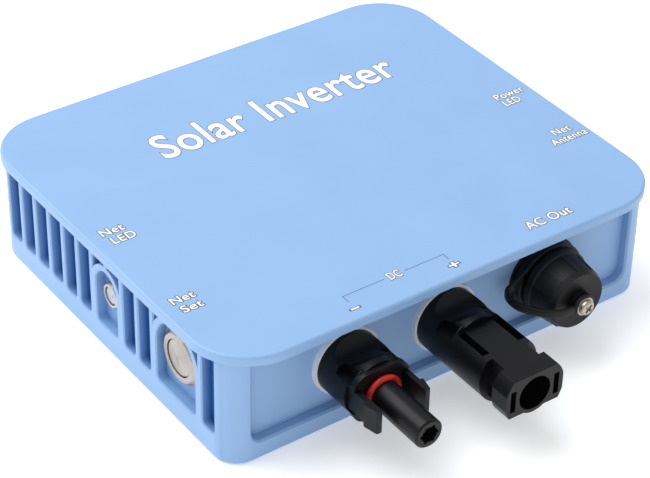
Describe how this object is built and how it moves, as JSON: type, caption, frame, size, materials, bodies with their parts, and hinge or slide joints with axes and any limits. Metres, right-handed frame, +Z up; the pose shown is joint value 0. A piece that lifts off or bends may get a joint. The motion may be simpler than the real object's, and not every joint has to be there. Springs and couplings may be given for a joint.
{
  "type": "solar inverter",
  "caption": "Compact die-cast solar inverter box with a latching DC connector pair, a capped AC socket, status lamps, a set button and an antenna port.",
  "frame": {"origin": "centre of the housing's flat underside", "axes": "+Z up through the lid; the connector face looks along -Y; the button and its lamp are on the -X side"},
  "size_m": [0.1628, 0.1742, 0.04],
  "materials": {
    "blue_paint": "satin powder coat on die-cast aluminium",
    "black_plastic": "fine moulded texture",
    "dark_rubber": "matt",
    "washer_rubber": "light grey silicone",
    "red_rubber": "red silicone",
    "stainless": "turned",
    "zinc_steel": "zinc plated",
    "nickel_brass": "nickel plated",
    "gold_brass": "gold flashed",
    "tinned_copper": "tinned copper",
    "copper_wire": "enamelled copper",
    "lamp_lens": "frosted polycarbonate",
    "board_green": "solder mask",
    "ferrite": "fired ferrite",
    "bobbin_plastic": "moulded",
    "capacitor_sleeve": "shrink sleeve",
    "film_case": "moulded box",
    "relay_case": "moulded box",
    "varistor_coat": "epoxy dip",
    "fuse_glass": "glass tube",
    "thermal_grey": "silicone pad",
    "wire_red": "sleeve",
    "wire_brown": "sleeve",
    "wire_grey": "sleeve"
  },
  "bodies": {
    "box": {"ac_leads": "wire_brown", "ac_socket_gasket": "dark_rubber", "ac_socket_insert": "black_plastic", "ac_socket_nut": "black_plastic", "ac_socket_pins": "gold_brass", "ac_socket_shell": "black_plastic", "antenna_jack": "gold_brass", "antenna_nut": "gold_brass", "antenna_pigtail": "wire_grey", "antenna_washer": "gold_brass", "board_screws": "zinc_steel", "button_leads": "wire_grey", "cap_strap": "dark_rubber", "clamp_screws": "zinc_steel", "control_board": "board_green", "dc_gaskets": "washer_rubber", "dc_leads": "wire_red", "dc_minus_body": "black_plastic", "dc_minus_contact": "tinned_copper", "dc_minus_seal": "red_rubber", "dc_nuts": "black_plastic", "dc_plus_body": "black_plastic", "dc_plus_pin": "tinned_copper", "film_capacitors": "film_case", "fuse": "fuse_glass", "grid_relays": "relay_case", "housing": "blue_paint", "input_capacitors": "capacitor_sleeve", "lamp_leads": "wire_grey", "lamp_nuts": "nickel_brass", "lid": "blue_paint", "lid_gasket": "dark_rubber", "lid_screws": "stainless", "main_board": "board_green", "net_lamp_bezel": "nickel_brass", "net_lamp_lens": "lamp_lens", "output_choke_core": "ferrite", "output_choke_winding": "copper_wire", "radio_board": "board_green", "set_button_bezel": "stainless", "set_button_nut": "nickel_brass", "set_button_seal": "dark_rubber", "set_button_spring": "stainless", "set_button_switch": "black_plastic", "surge_varistors": "varistor_coat", "switching_transistors": "black_plastic", "thermal_pad": "thermal_grey", "transformer_bobbin": "bobbin_plastic", "transformer_core": "ferrite", "transformer_windings": "copper_wire", "transistor_clamp": "zinc_steel", "unit_lamp_bezel": "nickel_brass", "unit_lamp_lens": "lamp_lens"},
    "button": {"set_button_cap": "stainless"},
    "latch_left": {"dc_minus_latch_left": "black_plastic"},
    "latch_right": {"dc_minus_latch_right": "black_plastic"},
    "cap_carrier": {"cap_washer": "zinc_steel"},
    "cap": {"ac_cap": "black_plastic", "ac_cap_seal": "dark_rubber", "ac_cap_screw": "stainless"}
  },
  "joints": [
    {"name": "set_button_press", "type": "slide", "parent": "box", "child": "button", "axis": [1, 0, 0], "range_m": [0, 0.002], "stiffness_N_per_m": 1200, "springref_m": -0.0005, "deforming": ["set_button_spring"]},
    {"name": "latch_left_flex", "type": "hinge", "parent": "box", "child": "latch_left", "pos_m": [-0.04355, -0.0774, 0.0203], "axis": [0, 0, 1], "range_deg": [0, 5], "stiffness_Nm_per_rad": 1.2, "springref_deg": -0.57},
    {"name": "latch_right_flex", "type": "hinge", "parent": "box", "child": "latch_right", "pos_m": [-0.02685, -0.0774, 0.0203], "axis": [0, 0, -1], "range_deg": [0, 5], "stiffness_Nm_per_rad": 1.2, "springref_deg": -0.57},
    {"name": "cap_draw", "type": "slide", "parent": "box", "child": "cap_carrier", "axis": [0, -1, 0], "range_m": [0, 0.0045], "deforming": ["cap_strap"]},
    {"name": "cap_turn", "type": "hinge", "parent": "cap_carrier", "child": "cap", "pos_m": [0.0374, -0.0737, 0.0203], "axis": [0, -1, 0], "range_deg": [0, 1080]}
  ],
  "couplings": [
    {"joint": "cap_turn", "follows": "cap_draw", "rad_per_m": 4188.8}
  ]
}
